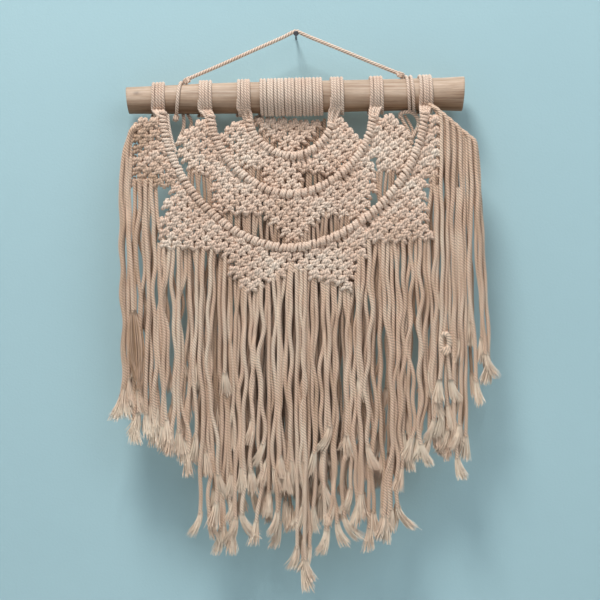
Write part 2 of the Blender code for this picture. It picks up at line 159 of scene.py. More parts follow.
def add_camera():
    """Square on to the hanging, far enough away for a nearly parallel view."""
    distance, view_width = 1.6, 0.6
    middle_x, front_y, middle_z = 0.004, -0.02, -0.27
    data = bpy.data.cameras.new("camera")
    data.sensor_width = 36
    data.lens = data.sensor_width * distance / view_width
    camera = link_object("camera", data)
    camera.location = (middle_x, front_y - distance, middle_z)
    camera.rotation_euler = (math.pi / 2, 0, 0)
    bpy.context.scene.camera = camera


def add_softbox(name, location, target, size, power, colour):
    light = bpy.data.lights.new(name, "AREA")
    light.shape = "DISK"
    light.size = size
    light.energy = power
    light.color = colour
    lamp = link_object(name, light)
    lamp.location = location
    aim = Vector(target) - Vector(location)
    lamp.rotation_euler = aim.to_track_quat("-Z", "Y").to_euler()


def add_lights():
    """A strong soft light from the upper left, a weak one from the right, and one for the back."""
    middle = (0, 0, -0.28)
    add_softbox("key", (-0.4, -1, 1.6), middle, 0.7, 43, (1, 0.975, 0.94))
    add_softbox("fill", (1, -1.5, 0.9), middle, 1.6, 9, (0.95, 0.98, 1))
    add_softbox("back", (0.5, 1.6, 0.5), middle, 1.4, 20, (1, 0.97, 0.93))
    world = bpy.data.worlds.new("studio")
    world.use_nodes = True
    background = world.node_tree.nodes["Background"]
    background.inputs["Color"].default_value = (0.93, 0.96, 1, 1)
    background.inputs["Strength"].default_value = 0.36
    bpy.context.scene.world = world
    bpy.context.scene.view_settings.view_transform = "Standard"


def add_plane(name, near, far, material, reach=1.6):
    """A rectangle as wide as the room between two level edges, each given as (y, z)."""
    mesh = bpy.data.meshes.new(name)
    mesh.from_pydata([(-reach, *near), (reach, *near), (reach, *far), (-reach, *far)], [], [(0, 1, 2, 3)])
    mesh.materials.append(material)
    plane = link_object(name, mesh)
    return plane


def add_stage():
    """A pale painted wall just behind the hanging, clear from behind, and a pale floor below."""
    wall_y, wall_top, floor_z, floor_front = 0.026, 0.9, -1, -2.4
    backdrop = add_plane("wall", (wall_y, floor_z), (wall_y, wall_top), wall_paint())
    backdrop.visible_shadow = False  # the light behind it reaches the back of the hanging
    add_plane("floor", (floor_front, floor_z), (wall_y, floor_z), floor_paint())
    add_nail(wall_y)


def add_nail(wall_y):
    """The wall's nail, under the hanger cord's highest point."""
    sides, middle_z = 20, -0.0012
    shank, head, crown = 0.0011, 0.0026, 0.0021
    profile = ((wall_y, shank), (-0.0065, shank), (-0.0065, head), (-0.0078, head), (-0.0081, crown))
    rings = []
    for y, radius in profile:
        for i in range(sides):
            angle = TURN * i / sides
            rings.append((radius * math.cos(angle), y, middle_z + radius * math.sin(angle)))
    faces = tube_faces(len(profile), sides).tolist() + [list(range(len(rings) - sides, len(rings)))]
    mesh = bpy.data.meshes.new("nail")
    mesh.from_pydata(rings, [], faces)
    steel = Shader("nail_steel")
    steel.set("Base Color", (0.1, 0.1, 0.11, 1))
    steel.set("Metallic", 0.9)
    steel.set("Roughness", 0.45)
    mesh.materials.append(steel.material)
    link_object("nail", mesh)


# ---- materials


class Shader:
    """Short calls for building a material's nodes."""

    def __init__(self, name):
        self.material = bpy.data.materials.new(name)
        self.material.use_nodes = True
        self.nodes = self.material.node_tree.nodes
        self.links = self.material.node_tree.links
        self.principled = self.nodes["Principled BSDF"]

    def add(self, kind, **settings):
        node = self.nodes.new(kind)
        for key, value in settings.items():
            setattr(node, key, value)
        return node

    def node(self, kind, output, **inputs):
        """What a new node with these inputs puts out."""
        node = self.add(kind)
        for name, value in inputs.items():
            self.feed(node.inputs[name], value)
        return node.outputs[output]

    def attribute(self, name, output="Fac"):
        return self.add("ShaderNodeAttribute", attribute_name=name).outputs[output]

    def feed(self, socket, value):
        """Gives an input a number, a colour, or what a node puts out."""
        if isinstance(value, bpy.types.NodeSocket):
            self.links.new(value, socket)
        else:
            socket.default_value = value

    def set(self, name, value):
        """Feeds one of the surface's own inputs."""
        self.feed(self.principled.inputs[name], value)

    def noise(self, vector, scale, detail=3, roughness=0.55):
        look = {"Scale": scale, "Detail": detail, "Roughness": roughness}
        return self.node("ShaderNodeTexNoise", "Fac", **look, Vector=vector)

    def ramp(self, fac, stops):
        node = self.add("ShaderNodeValToRGB")
        elements = node.color_ramp.elements
        while len(elements) < len(stops):
            elements.new(0.5)
        for element, (position, colour) in zip(elements, stops):
            element.position = position
            element.color = (*colour, 1)
        self.feed(node.inputs["Fac"], fac)
        return node.outputs["Color"]

    def range(self, value, low, high, from_low=0, from_high=1):
        ends = {"From Min": from_low, "From Max": from_high, "To Min": low, "To Max": high}
        return self.node("ShaderNodeMapRange", "Result", **ends, Value=value)

    def multiply_colour(self, colour, value):
        """The colour times a grey value."""
        node = self.add("ShaderNodeVectorMath", operation="SCALE")
        self.feed(node.inputs[0], colour)
        self.feed(node.inputs["Scale"], value)
        return node.outputs["Vector"]

    def maths(self, operation, a, b):
        node = self.add("ShaderNodeMath", operation=operation)
        self.feed(node.inputs[0], a)
        self.feed(node.inputs[1], b)
        return node.outputs["Value"]

    def times(self, a, b):
        return self.maths("MULTIPLY", a, b)

    def bump(self, height, distance, strength):
        inputs = {"Distance": distance, "Strength": strength, "Height": height}
        self.set("Normal", self.node("ShaderNodeBump", "Normal", **inputs))

    def object_coordinates(self, stretch=(1, 1, 1)):
        source = self.node("ShaderNodeTexCoord", "Object")
        return self.node("ShaderNodeMapping", "Vector", Scale=stretch, Vector=source)


def cotton(name, lightness=1, tone=(1, 1, 1)):
    """Twisted cotton: painted shade in its ply creases and on cords set behind others, fine yarn fibres
    along the plies and a slow random change of tone.
    """
    shader = Shader(name)
    tint, crease = shader.attribute("tint"), shader.attribute("crease")
    fibres = shader.noise(shader.attribute("fibre", "Vector"), 5, 4, 0.65)
    patches = shader.noise(shader.object_coordinates(), 26, 2)
    shade = shader.maths("ADD", tint, shader.range(patches, -0.16, 0.16, *NOISE_SPREAD))
    stops = [(place, tuple(np.multiply(colour, tone))) for place, colour in COTTON_STOPS]
    colour = shader.ramp(shade, stops)
    # painted shade: the colour is darkened in the ply creases, times the fibres' own small change of tone
    depth = shader.times(shader.range(crease, 0.34, 1), shader.range(fibres, 0.86, 1.12, *NOISE_SPREAD))
    shader.set("Base Color", shader.multiply_colour(colour, shader.times(depth, lightness)))
    shader.set("Roughness", shader.range(fibres, 0.78, 0.98, *NOISE_SPREAD))
    shader.set("Specular IOR Level", 0.2)
    shader.set("Sheen Weight", 0.25)
    shader.set("Sheen Roughness", 0.5)
    shader.bump(fibres, 0.0005, 0.55)
    return shader.material


def peeled_wood():
    """Sanded branch wood: fine streaks along the dowel, soft bands and small pores, with painted light on
    top and painted shade underneath.
    """
    shader = Shader("peeled_wood")
    streaks = shader.noise(shader.object_coordinates((14, 420, 420)), 1, 6, 0.6)
    bands = shader.noise(shader.object_coordinates((5, 60, 60)), 1, 3)
    pores = shader.noise(shader.object_coordinates((160, 1500, 1500)), 1, 2)
    grain = shader.ramp(streaks, GRAIN_STOPS)
    scar, underside = shader.attribute("scar"), shader.attribute("underside")
    value = shader.times(shader.range(bands, 0.84, 1.12, *NOISE_SPREAD), shader.range(scar, 1, 0.45))
    value = shader.times(value, shader.range(pores, 0.9, 1.04, 0.3, 0.6))
    # painted light and shade: the grain is lighter on top and darker towards the dowel's underside
    light_and_shade = shader.ramp(underside, LIGHT_AND_SHADE_STOPS)
    lit_and_shaded = shader.add("ShaderNodeVectorMath", operation="MULTIPLY")
    shader.feed(lit_and_shaded.inputs[0], shader.multiply_colour(grain, value))
    shader.feed(lit_and_shaded.inputs[1], light_and_shade)
    shader.set("Base Color", lit_and_shaded.outputs["Vector"])
    shader.set("Roughness", shader.range(streaks, 0.74, 0.52, *NOISE_SPREAD))
    shader.set("Specular IOR Level", 0.6)
    shader.bump(shader.maths("ADD", streaks, shader.times(pores, 0.5)), 0.0004, 0.35)
    return shader.material


def sawn_wood():
    """End grain: wavering growth rings round the pith, and a darker rim."""
    shader = Shader("sawn_wood")
    across = shader.object_coordinates((0, 1, 1))
    spread = shader.attribute("ring")
    waver = shader.times(shader.noise(across, 130, 2), 0.12)
    rings = shader.maths("SINE", shader.times(shader.maths("ADD", spread, waver), 58), 0)
    colour = shader.ramp(shader.range(rings, 0, 1, -1, 1), RING_STOPS)
    rim = shader.range(spread, 1, 0.55, 0.9, 1)
    fleck = shader.range(shader.noise(across, 1400, 2), 0.85, 1.08, 0.35, 0.65)
    shader.set("Base Color", shader.multiply_colour(colour, shader.times(rim, fleck)))
    shader.set("Roughness", shader.range(fleck, 0.95, 0.75, 0.85, 1.08))
    shader.bump(fleck, 0.0006, 0.5)
    return shader.material


def wall_paint():
    """Pale painted plaster, seen only from the front."""
    shader = Shader("wall_paint")
    patches = shader.noise(shader.object_coordinates(), 2.2, 3)
    shader.set("Base Color", shader.ramp(patches, WALL_STOPS))
    shader.set("Roughness", 0.9)
    shader.bump(shader.noise(shader.object_coordinates(), 420, 4), 0.0006, 0.25)
    clear = shader.add("ShaderNodeBsdfTransparent")
    mix = shader.add("ShaderNodeMixShader")
    shader.feed(mix.inputs["Fac"], shader.node("ShaderNodeNewGeometry", "Backfacing"))
    shader.feed(mix.inputs[1], shader.principled.outputs["BSDF"])
    shader.feed(mix.inputs[2], clear.outputs["BSDF"])
    shader.feed(shader.nodes["Material Output"].inputs["Surface"], mix.outputs["Shader"])
    return shader.material


def floor_paint():
    shader = Shader("floor_paint")
    patches = shader.noise(shader.object_coordinates(), 3, 3)
    shader.set("Base Color", shader.ramp(patches, FLOOR_STOPS))
    shader.set("Roughness", 0.85)
    return shader.material


# ---- cord geometry


def smooth_route(points, steps=12):
    """Points of a smooth curve through the given ones."""
    points = np.array(points, float)
    padded = np.vstack([2 * points[0] - points[1], points, 2 * points[-1] - points[-2]])
    t = np.linspace(0, 1, steps, endpoint=False)[:, None]
    runs = []
    for i in range(len(points) - 1):
        a, b, c, d = padded[i : i + 4]
        square, cube = 2 * a - 5 * b + 4 * c - d, 3 * b - a - 3 * c + d
        runs.append((2 * b + (c - a) * t + square * t**2 + cube * t**3) / 2)
    return np.vstack(runs + [points[-1:]])


def route_length(route):
    return float(np.linalg.norm(np.diff(route, axis=0), axis=1).sum())


def along(places, run, route):
    """Points at the given places of a route whose own points are at run."""
    return np.column_stack([np.interp(places, run, route[:, axis]) for axis in range(3)])


def evenly(route, spacing):
    """The same route with points a given distance apart, and how far along it each is."""
    run = np.concatenate([[0], np.cumsum(np.linalg.norm(np.diff(route, axis=0), axis=1))])
    count = max(3, int(round(run[-1] / spacing)) + 1)
    even = np.linspace(0, run[-1], count)
    return along(even, run, route), even


def frames_along(route):
    """Two unit vectors square to the route at each point, carried along it without spinning."""
    tangents = np.gradient(route, axis=0)
    tangents /= np.linalg.norm(tangents, axis=1)[:, None]
    side = np.cross(tangents[0], (0, 1, 0) if abs(tangents[0][1]) < 0.9 else (1, 0, 0))
    sides = np.empty_like(route)
    for i, tangent in enumerate(tangents):
        side = side - tangent * side.dot(tangent)
        side /= math.sqrt(side.dot(side))
        sides[i] = side
    return sides, np.cross(tangents, sides)

def tube_faces(rows, sides):
    """Quads between rows of points that go round a tube."""
    k = np.arange(sides)
    start = (np.arange(rows - 1) * sides)[:, None]
    after = (k + 1) % sides
    quads = np.stack([start + k, start + after, start + sides + after, start + sides + k], axis=-1)
    return quads.reshape(-1, 4)


def write_attribute(mesh, name, values):
    """A number or a vector for each point of a mesh, for its material to read."""
    kind, field = ("FLOAT_VECTOR", "vector") if values.ndim == 2 else ("FLOAT", "value")
    layer = mesh.attributes.new(name, kind, "POINT")
    layer.data.foreach_set(field, values.astype(np.float32).ravel())


class CordMesh:
    """Collects cords and fibres in millimetres, with what the cotton material reads at each point."""

    def __init__(self):
        self.points, self.fibres, self.tints, self.creases = [], [], [], []
        self.faces = {}
        self.count = 0

    def add(self, points, faces, fibre, tint, crease):
        """faces is a list of index arrays, one row a face."""
        self.points.append(points)
        self.fibres.append(fibre)
        self.tints.append(np.full(len(points), tint) if np.isscalar(tint) else tint)
        self.creases.append(crease)
        for rows in faces:
            self.faces.setdefault(rows.shape[1], []).append(rows + self.count)
        self.count += len(points)

    def add_cord(self, route, radius, tint, sides=9, lay=LAY, phase=0, offset=0, groove=PLY_GROOVE):
        """A three-ply twisted cord along a route. groove is its creases' depth, as a share of its radius."""
        rings_per_turn = 9 if sides == 9 else 7
        centres, run = evenly(route, lay / rings_per_turn)
        across, up = frames_along(centres)
        k = np.arange(sides)
        between_plies = k % (sides // PLIES) == 0
        # painted shade for the grooves between plies: the deeper the groove the darker, darkest for one as
        # deep as PLY_GROOVE
        groove_shade = np.where(between_plies, 1.0 - groove / PLY_GROOVE, 1)
        reach = radius * np.where(between_plies, 1.0 - groove, 1)
        angle = TURN * (k[None, :] / sides - run[:, None] / lay) + phase
        outward = np.cos(angle)[..., None] * across[:, None] + np.sin(angle)[..., None] * up[:, None]
        points = centres[:, None] + reach[:, None] * outward
        rows = len(centres)
        caps = [k[::-1][None, :], (k + (rows - 1) * sides)[None, :]]
        fibre = np.column_stack([
            np.repeat(run * 0.1 + offset, sides),
            np.tile(np.cos(TURN * k / sides), rows) + offset,
            np.tile(np.sin(TURN * k / sides), rows),
        ])
        faces = [tube_faces(rows, sides), *caps]
        self.add(points.reshape(-1, 3), faces, fibre, tint, np.tile(groove_shade, rows))
        return centres

    def add_tuft(self, end, direction, length, spread, tint, rng, gathered=False):
        """A brushed-out end: fibres that leave the strand close together and fan out, or gather again."""
        count, rings, sides = TUFT_FIBRES * (2 if gathered else 1), 10 if gathered else 6, 3
        direction = direction / np.linalg.norm(direction)
        across = np.cross(direction, (0, 1, 0))
        across /= np.linalg.norm(across)
        depth = np.cross(direction, across)
        turn = rng.uniform(0, TURN, count)
        out = np.sqrt(rng.uniform(0, 1, count))
        lean = rng.normal(0, 0.18, 2)
        reach = length * rng.uniform(0.72, 1, count)
        t = np.linspace(0, 1, rings)
        opening = np.sin(math.pi * t[None, :]) ** 0.8 if gathered else t[None, :] ** 1.25
        flare = TUFT_ROOT + (spread - TUFT_ROOT) * opening
        curl = rng.normal(0, 1.1, (count, 2))[:, None, :] * (t[None, :, None] ** 2)
        x = out[:, None] * np.cos(turn)[:, None] * flare + curl[..., 0] + lean[0] * length * t**2
        y = TUFT_FLATNESS * out[:, None] * np.sin(turn)[:, None] * flare
        y = y + 0.6 * curl[..., 1] + lean[1] * 0.4 * length * t**2
        z = reach[:, None] * t[None, :]
        lines = end + x[..., None] * across + y[..., None] * depth + z[..., None] * direction
        thick = np.interp(t, [0, 0.7, 1], [0.5, 0.44, 0.16])
        k = np.arange(sides)
        corner = TURN * k / sides
        ring = np.cos(corner)[:, None] * across + np.sin(corner)[:, None] * depth
        points = lines[:, :, None] + thick[:, None, None] * ring
        first = np.arange(count)[:, None] * rings
        start = (first + np.arange(rings - 1)[None, :])[..., None] * sides
        after = (k + 1) % sides
        quads = np.stack([start + k, start + sides + k, start + sides + after, start + after], axis=-1)
        tips = (first + rings - 1) * sides + k[None, :]
        roots = first * sides + k[None, ::-1]
        total = count * rings * sides
        along = np.tile(np.repeat(t, sides), count)
        fibre = np.column_stack([along, rng.uniform(0, 9, total), np.zeros(total)])
        shades = tint + np.repeat(rng.normal(0, 0.1, count), rings * sides)
        # painted shade at a tuft's root, a little darker where its fibres leave the strand
        crease = np.tile(np.repeat(np.interp(t, [0, 0.3, 1], [0.8, 1, 1]), sides), count)
        self.add(points.reshape(-1, 3), [quads.reshape(-1, 4), tips, roots], fibre, shades, crease)

    def brush_out(self, route, spread, tint, rng, start=-2, length=TUFT_LENGTH):
        """A tuft at the end of a strand's route, which it leaves at the route's point start."""
        self.add_tuft(route[start], route[-1] - route[-4], length, spread, tint, rng)

    def add_copy(self, template, matrix, shift, tint):
        """A turned and moved copy of a template mesh, with fibres of its own."""
        points = template["points"] @ matrix.T + shift
        self.add(points, template["faces"], template["fibre"] + shift[0] * 0.37, tint, template["crease"])

    def as_template(self):
        """What add_copy needs to make copies of this mesh."""
        return {
            "points": np.vstack(self.points),
            "faces": [np.vstack(rows) for rows in self.faces.values()],
            "fibre": np.vstack(self.fibres),
            "crease": np.concatenate(self.creases),
        }

    def build(self, name, material):
        """One smooth mesh object in metres."""
        points = np.vstack(self.points) * MM
        polygons = [np.vstack(rows) for rows in self.faces.values()]
        corners = np.concatenate([rows.ravel() for rows in polygons])
        sizes = np.concatenate([np.full(len(rows), rows.shape[1]) for rows in polygons])
        mesh = bpy.data.meshes.new(name)
        mesh.vertices.add(len(points))
        mesh.vertices.foreach_set("co", points.astype(np.float32).ravel())
        mesh.loops.add(len(corners))
        mesh.loops.foreach_set("vertex_index", corners.astype(np.int32))
        mesh.polygons.add(len(sizes))
        starts = np.concatenate([[0], np.cumsum(sizes)[:-1]])
        mesh.polygons.foreach_set("loop_start", starts.astype(np.int32))
        mesh.update(calc_edges=True)
        mesh.shade_smooth()
        write_attribute(mesh, "fibre", np.vstack(self.fibres))
        write_attribute(mesh, "tint", np.concatenate(self.tints))
        write_attribute(mesh, "crease", np.concatenate(self.creases))
        mesh.materials.append(material)
        return link_object(name, mesh)


# ---- what the frame says


def node_span(node):
    """(lowest, highest) corner of a CAD node in millimetres."""
    low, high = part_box(node)
    return np.array(low) / MM, np.array(high) / MM


def solid_tree(names):
    """A search tree over the surfaces of several CAD nodes, in metres."""
    points, faces = [], []
    for name in names:
        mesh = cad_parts[name].data
        shift = len(points)
        points += [vertex.co.copy() for vertex in mesh.vertices]
        faces += [[index + shift for index in polygon.vertices] for polygon in mesh.polygons]
    return BVHTree.FromPolygons(points, faces)


def in_front_of(tree, x, z):
    """Whether a line from the room at (x, z) meets the solid."""
    room_y = -0.2
    return tree.ray_cast(Vector((x * MM, room_y, z * MM)), Vector((0, 1, 0)))[0] is not None


def first_above(tree, x, y, z):
    """Height of the first surface straight above a point, or None."""
    hit = tree.ray_cast(Vector((x * MM, y * MM, z * MM)), Vector((0, 0, 1)))[0]
    return None if hit is None else hit.z / MM



def nodes_starting(*starts):
    return [name for name in sorted(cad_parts) if name.startswith(starts)]


# ---- dowel

DOWEL_ENDS = ((-172, -68), (170, -61))
DOWEL_RADII = ((-172, 13.6), (-100, 15.2), (0, 16), (100, 16.2), (150, 16.6), (170, 17.4))


def dowel_height(x):
    (x_from, z_from), (x_to, z_to) = DOWEL_ENDS
    return z_from + (x - x_from) / (x_to - x_from) * (z_to - z_from)


def dowel_radius(x):
    places, radii = zip(*DOWEL_RADII)
    return np.interp(x, places, radii)


def around_dowel(x, radius, angle):
    """Points at a radius round the dowel. Angle 0 is on top and a quarter turn is in front."""
    x, radius, angle = np.broadcast_arrays(np.asarray(x, float), radius, angle)
    return np.stack([x, -radius * np.sin(angle), dowel_height(x) + radius * np.cos(angle)], axis=-1)


def dowel_skin(rng, sides=56, stations=150, ease=0.9):
    """Points of the branch's uneven side, (along, round), with how much each is part of the scar."""
    left, right = DOWEL_ENDS[0][0], DOWEL_ENDS[1][0]
    xs = np.concatenate([[left, left + 0.3], np.linspace(left + ease, right - ease, stations)])
    xs = np.concatenate([xs, [right - 0.3, right]])
    grid_x, grid_a = np.meshgrid(xs, TURN * np.arange(sides) / sides, indexing="ij")
    radius = dowel_radius(grid_x)
    bumps = ((2, 1.3, 0.22), (3, 2.1, 0.16), (5, 3.7, 0.07), (1, 5.2, 0.1), (4, 9, 0.04))
    for turns, waves, size in bumps:
        shift = rng.uniform(0, TURN, 2)
        radius = radius + size * np.sin(turns * grid_a + shift[0]) * np.sin(waves * grid_x / 54 + shift[1])
    scar = np.exp(-(((grid_x + 160.5) / 2.6) ** 2) - ((grid_a - 1.15) / 0.13) ** 2)
    radius = radius + 0.5 * scar - 0.5 * scar**4
    edge = np.minimum(grid_x - left, right - grid_x)
    radius = radius - 0.55 * np.clip(1 - edge / ease, 0, 1) ** 1.5
    return around_dowel(grid_x, radius, grid_a), scar


def dowel_end(end_x, outer, first, sides, flip):
    """Rings of points and faces that close the dowel at one end. outer is its skin's first point there."""
    angles = TURN * np.arange(sides) / sides
    points, shares, faces = [], [], []
    for share in (0.93, 0.75, 0.5, 0.25):
        points.append(around_dowel(np.full(sides, end_x), dowel_radius(end_x) * share * 0.965, angles))
        shares.append(np.full(sides, share))
        for i in range(sides):
            j = (i + 1) % sides
            faces.append([outer + i, outer + j, first + j, first + i])
        outer, first = first, first + sides
    points.append(around_dowel(np.array([end_x]), 0.0, np.array([0.0])))
    shares.append(np.zeros(1))
    faces += [[outer + i, outer + (i + 1) % sides, first] for i in range(sides)]
    return points, shares, faces if flip else [face[::-1] for face in faces]


def below_axis(points):
    """How far under the dowel's axis points are: 0 on top of the dowel, 1 at its foot."""
    return (dowel_height(points[:, 0]) - points[:, 2]) / dowel_radius(points[:, 0]) * 0.5 + 0.5


def add_dowel(rng):
    """The peeled branch: slightly uneven, with eased edges at its sawn ends and a small branch scar."""
    skin, scar = dowel_skin(rng)
    rows, sides = scar.shape
    points, shares = [skin.reshape(-1, 3)], [np.ones(rows * sides)]
    faces = tube_faces(rows, sides)[:, ::-1].tolist()
    skin_faces = len(faces)
    for row, (end_x, _), flip in ((0, DOWEL_ENDS[0], True), (rows - 1, DOWEL_ENDS[1], False)):
        count = sum(len(part) for part in points)
        end_points, end_shares, end_faces = dowel_end(end_x, row * sides, count, sides, flip)
        points += end_points
        shares += end_shares
        faces += end_faces
    shown = np.vstack(points)
    left, right = DOWEL_ENDS[0][0], DOWEL_ENDS[1][0]
    slant = below_axis(shown)
    shown[:, 0] += 3.0 * slant * np.exp(-(shown[:, 0] - left) / 5)
    shown[:, 0] -= 2.0 * slant * np.exp(-(right - shown[:, 0]) / 5)
    mesh = bpy.data.meshes.new("branch_dowel")
    mesh.from_pydata((shown * MM).tolist(), [], faces)
    mesh.shade_smooth()
    scars = np.concatenate([scar.ravel(), np.zeros(len(shown) - scar.size)])
    write_attribute(mesh, "ring", np.concatenate(shares))
    write_attribute(mesh, "scar", scars)
    write_attribute(mesh, "underside", below_axis(shown))
    mesh.materials.append(peeled_wood())
    mesh.materials.append(sawn_wood())
    slots = np.zeros(len(faces), np.int32)
    slots[skin_faces:] = 1
    mesh.polygons.foreach_set("material_index", slots)
    mesh.set_sharp_from_angle(angle=math.radians(50))
    stand_for(link_object("branch_dowel", mesh), "hanger", "dowel_wood", "dowel")


# ---- wraps and hanger


def add_wrap(node, material, rng):
    """A cord wound round the dowel in close turns, each a little uneven."""
    low, high = node_span(node)
    turns = int(round((high[0] - low[0]) / WRAP_PITCH))
    first = low[0] + WRAP_RADIUS + 0.2
    last = high[0] - WRAP_RADIUS - 0.2
    turn = np.linspace(0, turns, turns * 40)
    x = np.interp(turn, [0, turns], [first - 0.9, last + 0.9])
    x = x + 0.25 * np.sin(TURN * turn * 0.37 + rng.uniform(0, 6))
    radius = dowel_radius(x) + WRAP_RADIUS + 0.25
    route = around_dowel(x, radius, TURN * turn + math.pi)
    mesh = CordMesh()
    mesh.add_cord(route, WRAP_RADIUS, WRAP_TINT + rng.normal(0, 0.03), offset=rng.uniform(0, 50))
    stand_for(mesh.build(node + "_cord", material), "hanger", "wrap_cotton", node)


def add_hanger(material):
    """The twisted cord over the nail, knotted to the dowel at both ends."""
    route = smooth_route([
        (-112, -4, -48), (-105, -2.5, -44.6), (-82, -1.6, -34.8), (-60, -1, -25), (-36, -0.5, -14.2),
        (-14, 0, -4.4), (-5, 0, 0.2), (0, 0, HANGER_RADIUS), (5, 0, 0.2), (14, 0, -3.8),
        (34, -0.5, -12), (52, -1, -19.5), (76, -1.5, -29.6), (100, -2, -39.5), (107, -4, -42.5),
    ])
    mesh = CordMesh()
    centres = mesh.add_cord(route, HANGER_RADIUS, HANGER_TINT, lay=9.5, offset=3)
    cord = mesh.build("hanger_rope", material)
    stand_for(cord, "hanger", "hanger_cotton", "hanger_cord")
    add_left_hitch(material)
    add_right_hitch(material)


def overhand(centre, size, turn):
    """The visible wraps of a small pulled knot, as a short coil round a slanted core."""
    count, turns = 60, 2.4
    t = np.linspace(0, turns * 2 * math.pi, count)
    x = size * 1.05 * np.cos(t)
    y = -size * 0.85 * np.sin(t)
    z = np.linspace(size * 0.75, -size * 0.75, count)
    c, s = math.cos(turn), math.sin(turn)
    return np.array(centre) + np.column_stack([c * x - s * z, y, s * x + c * z])


def over_front(x_from, x_to, angle_from, angle_to):
    """A cord laid over the dowel's front between two angles, in degrees from its top."""
    share = np.linspace(0, 1, 30)
    x = x_from + share * (x_to - x_from)
    angle = np.radians(angle_from + share * (angle_to - angle_from))
    return around_dowel(x, dowel_radius(x) + WRAP_RADIUS + 0.2, angle)


def add_left_hitch(material):
    """Knot on top, one strand over the front, a hitch below it and two cut tails behind."""
    mesh = CordMesh()
    mesh.add_cord(overhand((-110.5, -3, -48.6), 2.4, 0.5), 1.7, 0.55)
    mesh.add_cord(over_front(-114.5, -121.5, -50, 196), WRAP_RADIUS, 0.6, offset=2)
    mesh.add_cord(overhand((-121, -5.5, -86.5), 2.3, 1.2), 1.6, 0.55)
    long = [
        (-114.5, 2, -82), (-113.5, -1.5, -88), (-114, -2, -97), (-118, -2, -107),
        (-119.5, -1.5, -114),
    ]
    mesh.add_cord(smooth_route(long), 1.9, 0.5, offset=5)
    short = [(-110, 3, -82), (-107.5, 0.5, -86), (-106, 0, -91), (-108.5, 0.5, -100)]
    mesh.add_cord(smooth_route(short), 1.7, 0.46, offset=7)
    stand_for(mesh.build("hanger_left_hitch", material), "hanger", "hanger_cotton",
              "hanger_knot_left", "hanger_hitch_left", "hanger_hitch_knot_left", "hanger_tail_left")


def add_right_hitch(material):
    """Knot on top, the doubled cord over the front, and the loop with its end knot below."""
    mesh = CordMesh()
    mesh.add_cord(overhand((105.4, -3, -42.6), 2.4, -0.5), 1.7, 0.55)
    mesh.add_cord(over_front(110, 114.8, -40, 172), 1.6, 0.62, offset=1)
    mesh.add_cord(over_front(114.5, 119, -40, 172), 1.6, 0.62, offset=4)
    loop = [
        (105.4, -4, -86.5), (105.6, -5.5, -82), (111.5, -6.5, -80.2), (118, -6.5, -81.5), (122.6, -6, -87),
        (123.6, -5, -93.5), (120.5, -4, -101), (116, -3.5, -110),
    ]
    mesh.add_cord(smooth_route(loop), 2.1, 0.62, offset=8)
    inner = [(105.6, -4.5, -83.5), (108.5, -4, -90), (113, -3.5, -97.5), (116.5, -3, -108)]
    mesh.add_cord(smooth_route(inner), 1.8, 0.6)
    middle = [(109.5, -3.5, -83), (113.5, -3, -89.5), (117.5, -3, -97.5), (118, -3, -104)]
    mesh.add_cord(smooth_route(middle), 1.5, 0.42)
    mesh.add_cord(overhand((115.6, -3.5, -111.5), 2, 0.3), 1.6, 0.52)
    stand_for(mesh.build("hanger_right_hitch", material), "hanger", "hanger_cotton",
              "hanger_knot_right", "hanger_hitch_right", "hanger_hitch_right_second",
              "hanger_loop_right", "hanger_end_knot")


# ---- arcs

ARC_POWER = 1.8  # 2 would make each half of an arc an ellipse; less draws its sides in
ARCS = {
    "inner": {"middle": -4, "left": 43, "right": 40, "top": -89.5, "depth": 35.5},
    "middle": {"middle": -6, "left": 79, "right": 83, "top": -85.5, "depth": 78.5},
    "outer": {"middle": -8, "left": 125, "right": 136, "top": -83, "depth": 135.0},
}
MOUNTS = {"inner": (-53, 40.5), "middle": (-92, 80.5), "outer": (-139, 130)}  # x of its two wraps


def arc_line(layer):
    """Points along an arc's middle, with the outward direction at each."""
    arc = ARCS[layer]
    angle = np.linspace(math.pi, TURN, 240)
    across, down = np.cos(angle), np.abs(np.sin(angle))
    half = np.where(across < 0, arc["left"], arc["right"])
    x = arc["middle"] + np.sign(across) * np.abs(across) ** (2 / ARC_POWER) * half
    z = arc["top"] - arc["depth"] * down ** (2 / ARC_POWER)
    line = np.column_stack([x, np.full_like(x, LAYER_Y[layer]), z])
    line, _ = evenly(line, 1)
    tangent = np.gradient(line, axis=0)
    tangent /= np.linalg.norm(tangent, axis=1)[:, None]
    outward = np.column_stack([tangent[:, 2], np.zeros(len(line)), -tangent[:, 0]])
    return line, outward


def add_arc(layer, material, rng):
    """A carrier cord covered with close half hitches, and the cords by which it leaves the dowel."""
    line, outward = arc_line(layer)
    run = np.arange(len(line), dtype=float)
    run *= route_length(line) / run[-1]
    fine = np.linspace(0, run[-1], int(run[-1] / RIB_PITCH * 14))
    centre, out = along(fine, run, line), along(fine, run, outward)
    uneven = 0.15 * np.sin(fine * 0.83) + 0.12 * np.sin(fine * 0.37 + 1)
    turn = TURN * (fine / RIB_PITCH + uneven)
    wide = 2.85 + 0.4 * np.sin(fine * 0.53 + rng.uniform(0, 6))
    route = centre + out * (wide * np.cos(turn))[:, None]
    route[:, 1] -= 1.2 + 3.1 * np.sin(turn)
    mesh = CordMesh()
    mesh.add_cord(route, RIB_RADIUS, RIB_TINT, sides=6, lay=6.5, offset=rng.uniform(0, 50), groove=0.13)
    # the carrier core shows only in the gaps between the hitches and is set darker: painted shade
    mesh.add_cord(line, 2.2, CORE_SHADE_TINT, sides=6)
    if layer == "outer":
        beside = line[2:44] - outward[2:44] * 5.2  # a second cord down the arc's left side
        mesh.add_cord(beside, 1.6, 0.62)
    for side, x_mount in zip((0, -1), MOUNTS[layer]):
        add_neck(mesh, line[side], x_mount, rng)
    stand_for(mesh.build(layer + "_ribbed_arc", material), curtain(layer), "arc_cotton", layer + "_arc")


